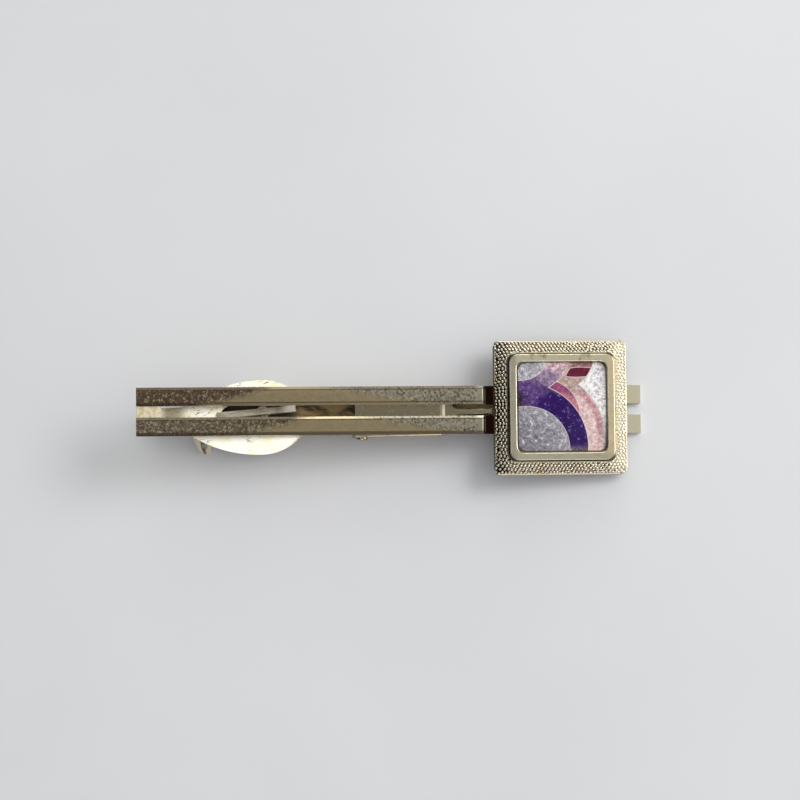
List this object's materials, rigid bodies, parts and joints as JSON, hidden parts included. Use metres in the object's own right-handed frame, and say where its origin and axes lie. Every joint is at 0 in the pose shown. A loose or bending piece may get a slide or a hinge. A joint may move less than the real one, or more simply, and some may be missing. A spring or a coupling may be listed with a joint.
{
  "type": "tie clip",
  "caption": "Tie clip: two flat rails with a square enamelled head in a grained frame, and a sprung alligator clip behind.",
  "frame": {"origin": "on the rails' back plane, midway between the rails, in the middle of the toothed grip", "axes": "+X along the rails towards the head, +Y across the rails, +Z out of the front face"},
  "size_m": [0.0584, 0.0156, 0.0087],
  "materials": {
    "rail_plate": "bright nickel plate, finely pitted and scratched",
    "solder_fill": "pale dull plate over solder",
    "clip_nickel": "bright nickel plate",
    "lever_gilt": "nickel plate with a warm cast",
    "thumb_bright": "bright plate with fine hand scratches",
    "spring_steel": "bright spring steel",
    "frame_plate": "bright plate, tarnished in the hollows of the grain",
    "ring_satin": "satin plate",
    "adhesive": "set adhesive",
    "copper": "fired copper",
    "back_enamel": "glassy",
    "foil": "crinkled silver foil",
    "enamel_clear": "polished",
    "enamel_violet": "polished",
    "enamel_lilac": "polished",
    "enamel_rose": "polished",
    "enamel_blush": "polished",
    "wire_silver": "drawn silver"
  },
  "bodies": {
    "bar": {"rail_upper": "rail_plate", "rail_lower": "rail_plate", "tail_spacer": "solder_fill", "clip_base": "clip_nickel", "hinge_pin": "clip_nickel", "head_frame": "frame_plate", "bezel_ring": "ring_satin", "back_plate": "clip_nickel", "adhesive_pad": "adhesive", "copper_blank": "copper", "counter_enamel": "back_enamel", "silver_foil": "foil", "enamel_clear": "enamel_clear", "enamel_violet": "enamel_violet", "enamel_lilac": "enamel_lilac", "enamel_rose": "enamel_rose", "enamel_blush": "enamel_blush", "cell_wires": "wire_silver"},
    "lever": {"lever_arm": "lever_gilt", "thumb_plate": "thumb_bright", "chain_lug": "lever_gilt", "spring_rivet": "clip_nickel", "hairpin_spring": "spring_steel"}
  },
  "joints": [
    {"name": "lever_pivot", "type": "hinge", "parent": "bar", "child": "lever", "pos_m": [-0.0139, -0.00034, -0.002], "axis": [-0.0157, 0.9999, 0], "range_deg": [0, 12], "stiffness_Nm_per_rad": 0.02, "springref_deg": -11.46, "deforming": ["hairpin_spring"]}
  ]
}
